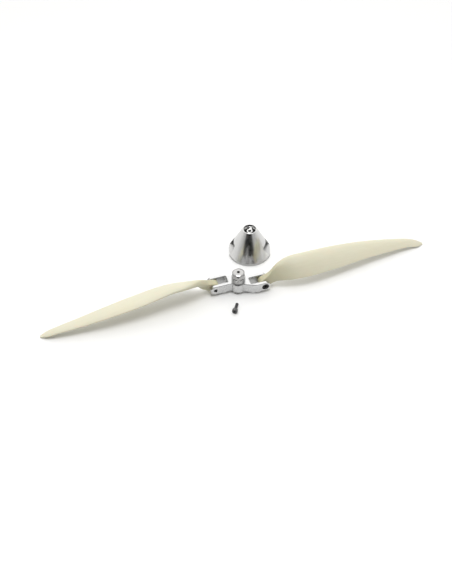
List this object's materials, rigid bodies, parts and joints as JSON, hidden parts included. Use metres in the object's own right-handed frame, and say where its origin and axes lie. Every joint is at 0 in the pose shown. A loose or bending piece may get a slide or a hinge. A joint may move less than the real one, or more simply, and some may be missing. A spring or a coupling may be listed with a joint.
{
  "type": "folding propeller",
  "caption": "Two-blade folding propeller on a Z-shaped clamp hub, laid out with its spinner cone, backplate and screw beside it.",
  "frame": {"origin": "on the rotor axis at the collet's rear face, which is the level of the table that the set lies on", "axes": "+Z forward along the rotor axis (up, nose up), +X out along one blade and its fork, +Y ahead of that blade in the turning direction"},
  "size_m": [0.3302, 0.0829, 0.026],
  "materials": {
    "glass_filled_nylon": "moulded, satin, ivory",
    "turned_aluminium": "turned and milled, bright",
    "nut_steel": "turned, bright",
    "black_steel": "black oxide",
    "washer_steel": "stamped, bright",
    "bush_brass": "turned"
  },
  "bodies": {
    "hub": {"yoke": "turned_aluminium", "collet": "turned_aluminium", "clamp_collar": "turned_aluminium", "hinge_screw_right": "black_steel", "hinge_screw_left": "black_steel", "root_washer_right_head": "washer_steel", "root_washer_right_tip": "washer_steel", "root_washer_left_head": "washer_steel", "root_washer_left_tip": "washer_steel"},
    "nut": {"dome_nut": "nut_steel"},
    "right_blade": {"blade_right": "glass_filled_nylon", "blade_bush_right": "bush_brass"},
    "left_blade": {"blade_left": "glass_filled_nylon", "blade_bush_left": "bush_brass"},
    "spinner_base": {"spinner_backplate": "turned_aluminium"},
    "spinner": {"spinner_cone": "turned_aluminium"},
    "loose_screw": {"spinner_screw": "black_steel"}
  },
  "joints": [
    {"name": "right_blade_fold", "type": "hinge", "parent": "hub", "child": "right_blade", "pos_m": [0.02, -0.004, 0.0062], "axis": [0, 1, 0], "range_deg": [-13, 80]},
    {"name": "left_blade_fold", "type": "hinge", "parent": "hub", "child": "left_blade", "pos_m": [-0.02, 0.004, 0.0062], "axis": [0, -1, 0], "range_deg": [-13, 80]},
    {"name": "nut_off", "type": "slide", "parent": "hub", "child": "nut", "axis": [0, 0, 1], "range_m": [0, 0.012]},
    {"name": "spinner_lift", "type": "slide", "parent": "hub", "child": "spinner_base", "axis": [0, 0, 1], "range_m": [0, 0.03]},
    {"name": "cone_off", "type": "slide", "parent": "spinner_base", "child": "spinner", "axis": [0, 0, 1], "range_m": [0, 0.03]},
    {"name": "spinner_screw_lift", "type": "slide", "parent": "hub", "child": "loose_screw", "axis": [0, 0, 1], "range_m": [0, 0.03]}
  ]
}
